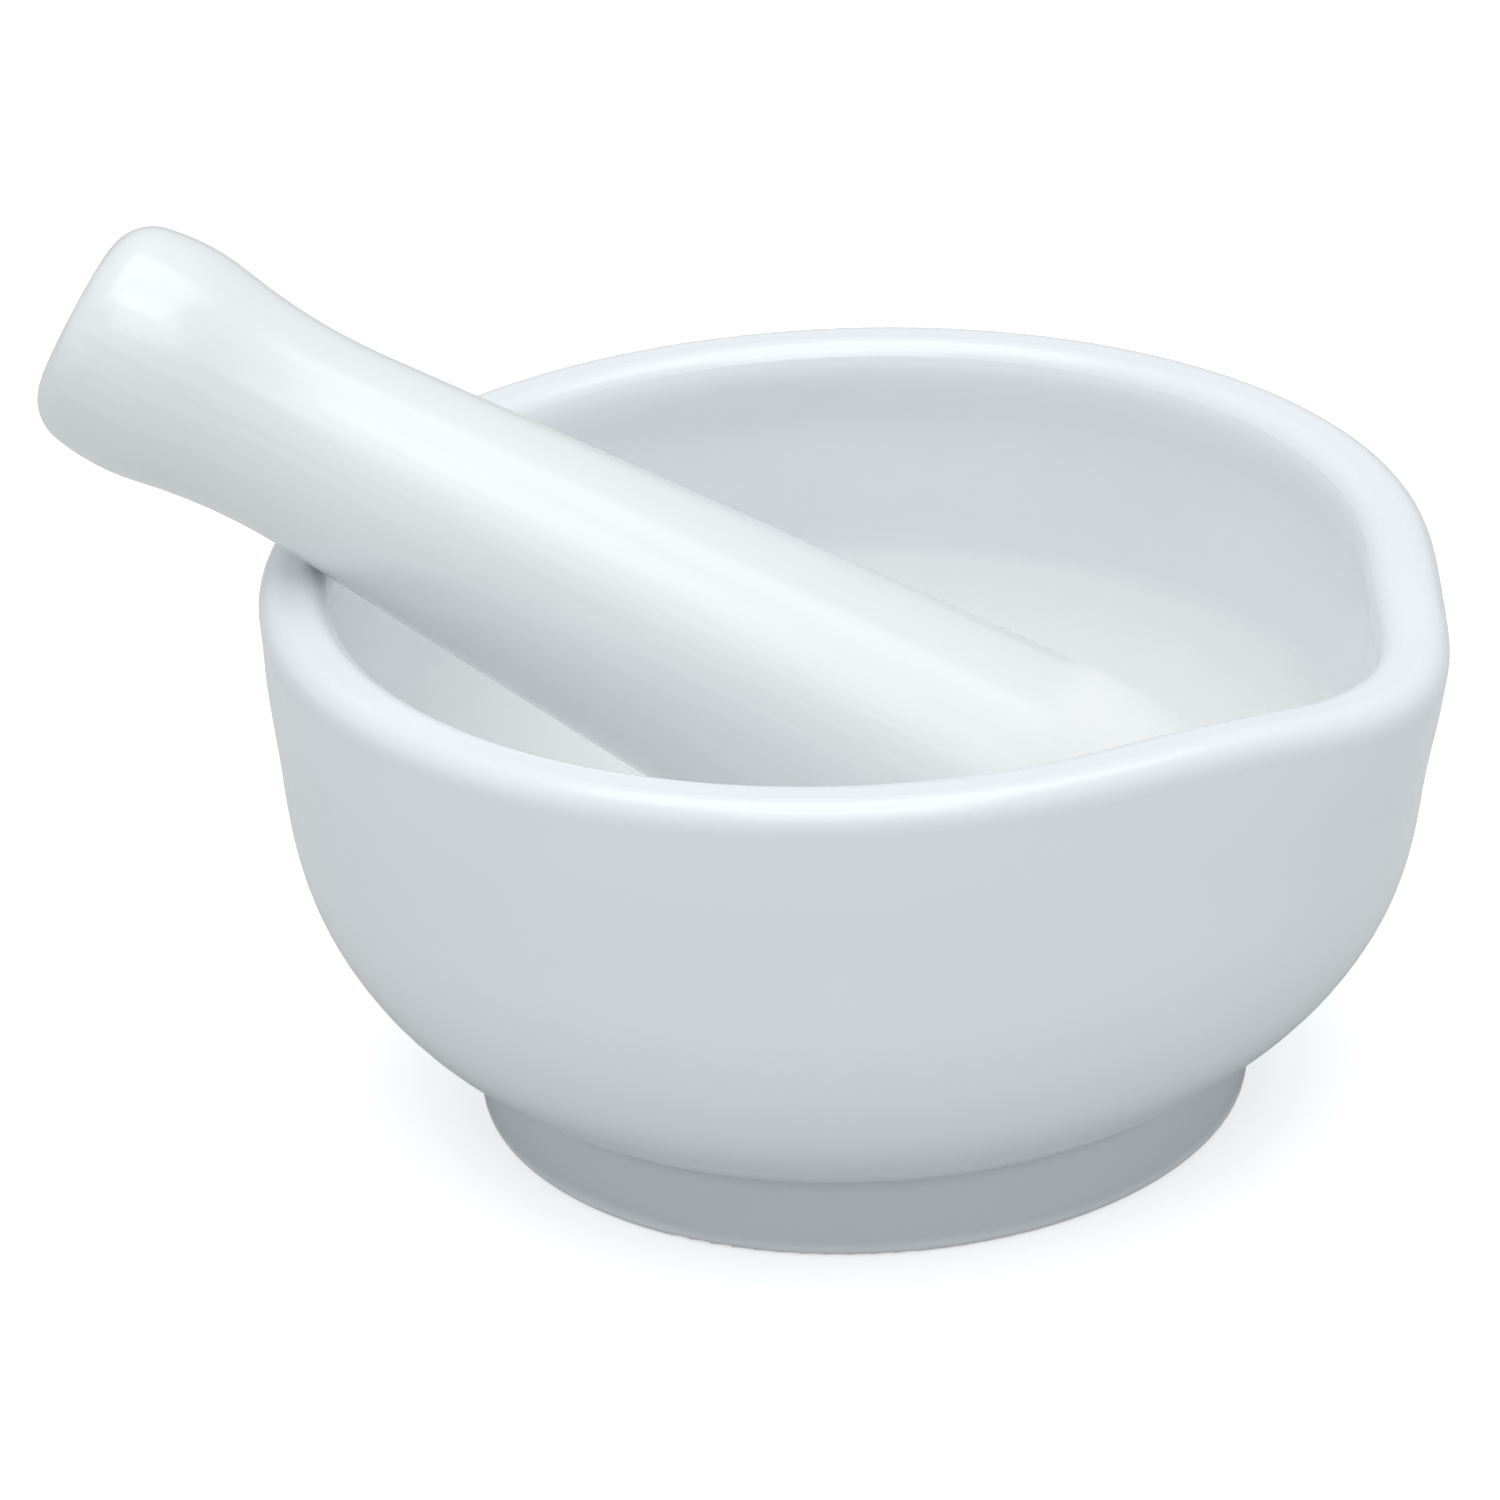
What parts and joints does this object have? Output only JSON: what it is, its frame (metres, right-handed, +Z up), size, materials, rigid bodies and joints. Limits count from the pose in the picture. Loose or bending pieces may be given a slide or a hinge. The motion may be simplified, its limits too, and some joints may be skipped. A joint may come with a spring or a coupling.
{
  "type": "mortar and pestle",
  "caption": "White porcelain laboratory mortar with a pouring lip and a foot ring, its pestle lying in the bowl with the handle out over the rim.",
  "frame": {"origin": "centre of the foot ring's resting face, on the surface the mortar stands on", "axes": "+Z up; +X from the bowl's middle towards the pouring lip; the bowl is symmetric about the XZ plane and the pestle lies across it"},
  "size_m": [0.1175, 0.0996, 0.0787],
  "materials": {
    "mortar_porcelain": "gloss",
    "pestle_porcelain": "gloss"
  },
  "bodies": {
    "mortar": {"mortar": "mortar_porcelain"},
    "pestle": {"pestle": "pestle_porcelain"}
  },
  "joints": [
    {"name": "pestle_lift", "type": "slide", "parent": "mortar", "child": "pestle", "axis": [0, 0, 1], "range_m": [0, 0.06]}
  ]
}
